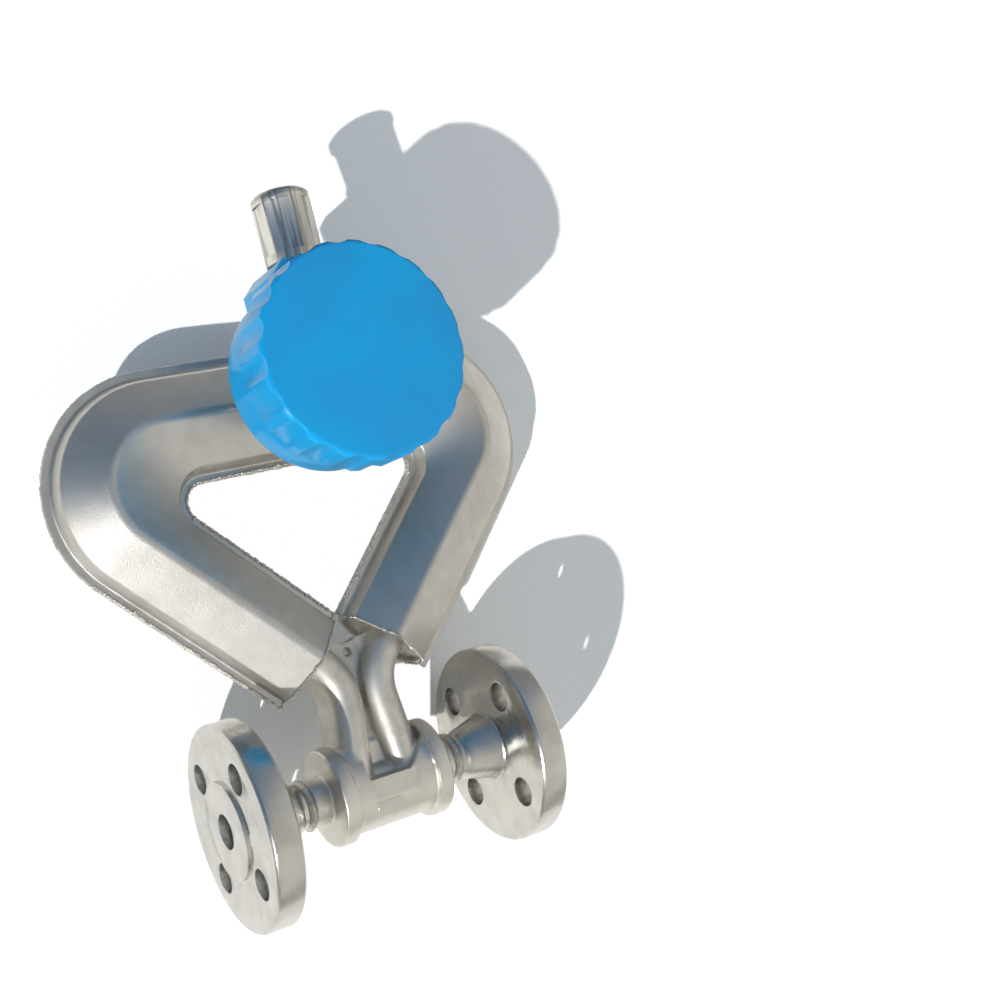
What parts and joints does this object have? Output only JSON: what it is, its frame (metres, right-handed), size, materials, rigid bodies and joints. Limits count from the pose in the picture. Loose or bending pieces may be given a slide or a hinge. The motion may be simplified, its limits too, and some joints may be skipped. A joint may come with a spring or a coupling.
{
  "type": "coriolis mass flow meter",
  "caption": "Coriolis mass flow meter: delta sensor case of two pressed half shells with twin flow tubes on a cast manifold between weld-neck flanges, and a round screw-capped junction box.",
  "frame": {"origin": "centre of the inlet's raised face, on the flow axis", "axes": "+X along the flow from inlet to outlet, +Z from the flow axis up to the top of the case, -Y out of the junction box's cover"},
  "size_m": [0.2394, 0.1431, 0.31],
  "materials": {
    "flange_steel": "turned, bare stainless steel",
    "weld_bead": "as welded",
    "cast_steel": "satin, bead blasted casting with turned bands",
    "case_steel": "satin sheet, bead blasted at the lower ends",
    "tube_steel": "drawn tube",
    "winding": "copper winding on a former",
    "magnet": "nickel plated",
    "sensor_clip": "plain",
    "header": "potted",
    "pin_metal": "gold coloured",
    "seal_rubber": "matt",
    "housing_blue": "gloss powder coat",
    "cover_blue": "gloss powder coat",
    "screw_steel": "plated",
    "board": "solder resist green",
    "terminal_plastic": "moulded",
    "washer_brass": "plain",
    "adapter_steel": "turned and milled"
  },
  "bodies": {
    "meter": {"inlet_flange": "flange_steel", "outlet_flange": "flange_steel", "inlet_hub": "flange_steel", "outlet_hub": "flange_steel", "inlet_weld": "weld_bead", "outlet_weld": "weld_bead", "manifold": "cast_steel", "case_front": "case_steel", "case_back": "case_steel", "outer_seam_weld": "weld_bead", "inner_seam_weld": "weld_bead", "inlet_end_plate": "case_steel", "outlet_end_plate": "case_steel", "flow_tube_front": "tube_steel", "flow_tube_back": "tube_steel", "inlet_brace_lower": "tube_steel", "inlet_brace_upper": "tube_steel", "outlet_brace_lower": "tube_steel", "outlet_brace_upper": "tube_steel", "drive_coil": "winding", "drive_magnet": "magnet", "inlet_pickoff_coil": "winding", "inlet_pickoff_magnet": "magnet", "outlet_pickoff_coil": "winding", "outlet_pickoff_magnet": "magnet", "temperature_sensor": "sensor_clip", "junction_stub": "case_steel", "feedthrough": "header", "feedthrough_pins": "pin_metal", "junction_gasket": "seal_rubber", "junction_body": "housing_blue", "junction_screws": "screw_steel", "terminal_board": "board", "board_screws": "screw_steel", "terminal_block_upper": "terminal_plastic", "terminal_block_lower": "terminal_plastic", "terminal_screws": "screw_steel", "ground_screw": "screw_steel", "ground_washer": "washer_brass", "conduit_seal": "seal_rubber", "conduit_adapter": "adapter_steel"},
    "seal_carrier": {"cover_seal": "seal_rubber"},
    "cap": {"cover": "cover_blue"}
  },
  "joints": [
    {"name": "cover_travel", "type": "slide", "parent": "meter", "child": "seal_carrier", "axis": [0, -1, 0], "range_m": [0, 0.0121]},
    {"name": "cover_turn", "type": "hinge", "parent": "seal_carrier", "child": "cap", "pos_m": [0.0765, -0.08, 0.182], "axis": [0, -1, 0], "range_deg": [0, 2160]}
  ],
  "couplings": [
    {"joint": "cover_travel", "follows": "cover_turn", "m_per_rad": 0.00031831}
  ]
}
